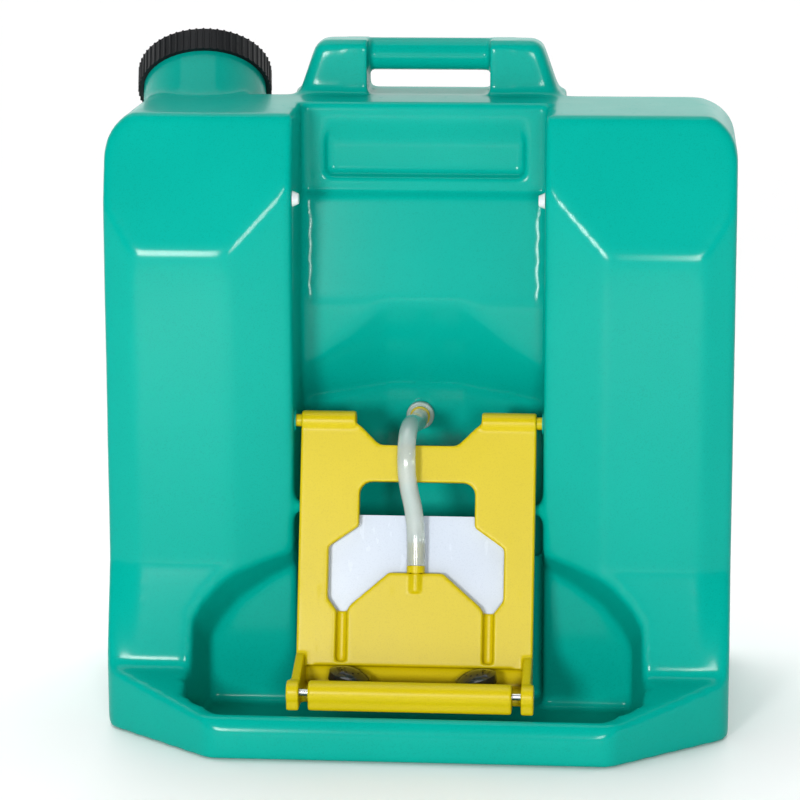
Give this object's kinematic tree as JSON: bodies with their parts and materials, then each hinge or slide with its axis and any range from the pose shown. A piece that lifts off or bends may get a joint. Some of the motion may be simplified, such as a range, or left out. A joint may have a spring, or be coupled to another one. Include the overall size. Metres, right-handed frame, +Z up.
{
  "type": "eyewash station",
  "caption": "Portable gravity-fed eyewash station: moulded water tank with basin and carry handle, screw fill cap, and a swing-down arm with spray nozzles fed by a hose.",
  "frame": {"origin": "middle of the station's footprint, on the surface it stands on", "axes": "+Z up, -Y towards the user who stands in front of the basin, +X to the user's right"},
  "size_m": [0.546, 0.37, 0.5961],
  "materials": {
    "teal_tank": "gloss",
    "yellow_plastic": "gloss",
    "black_plastic": "satin",
    "white_plastic": "gloss",
    "natural_plastic": "satin",
    "clear_hose": "gloss",
    "seal_rubber": "matte",
    "steel": "satin"
  },
  "bodies": {
    "tank": {"tank_shell": "teal_tank", "outlet_gasket": "seal_rubber", "outlet_flange": "natural_plastic", "outlet_locknut": "natural_plastic", "outlet_strainer": "natural_plastic", "outlet_barb": "yellow_plastic", "pivot_bushes": "teal_tank", "catch_buttons": "white_plastic", "supply_hose": "clear_hose"},
    "cap_seal": {"cap_gasket": "seal_rubber"},
    "cap": {"fill_cap": "black_plastic", "vent_plug": "black_plastic"},
    "arm": {"arm_frame": "yellow_plastic", "inlet_barb": "yellow_plastic", "pivot_pins": "yellow_plastic", "bar_axle": "steel", "nozzle_left": "black_plastic", "nozzle_right": "black_plastic", "nozzle_seals": "seal_rubber", "flow_discs": "white_plastic", "sign_plate": "white_plastic", "sign_screws": "steel"},
    "bar": {"pull_bar": "yellow_plastic"}
  },
  "joints": [
    {"name": "arm_swing", "type": "hinge", "parent": "tank", "child": "arm", "pos_m": [0, -0.048, 0.268], "axis": [-1, 0, 0], "range_deg": [0, 166], "deforming": ["supply_hose"]},
    {"name": "bar_swivel", "type": "hinge", "parent": "arm", "child": "bar", "pos_m": [0, -0.158, 0.054], "axis": [-1, 0, 0], "range_deg": [0, 90]},
    {"name": "cap_lift", "type": "slide", "parent": "tank", "child": "cap_seal", "axis": [-0.0877, 0.714, 0.6947], "range_m": [0, 0.012]},
    {"name": "cap_turn", "type": "hinge", "parent": "cap_seal", "child": "cap", "pos_m": [-0.21038, 0.13553, 0.54588], "axis": [-0.0877, 0.714, 0.6947], "range_deg": [0, 540]}
  ],
  "couplings": [
    {"joint": "cap_lift", "follows": "cap_turn", "m_per_rad": 0.001273}
  ]
}
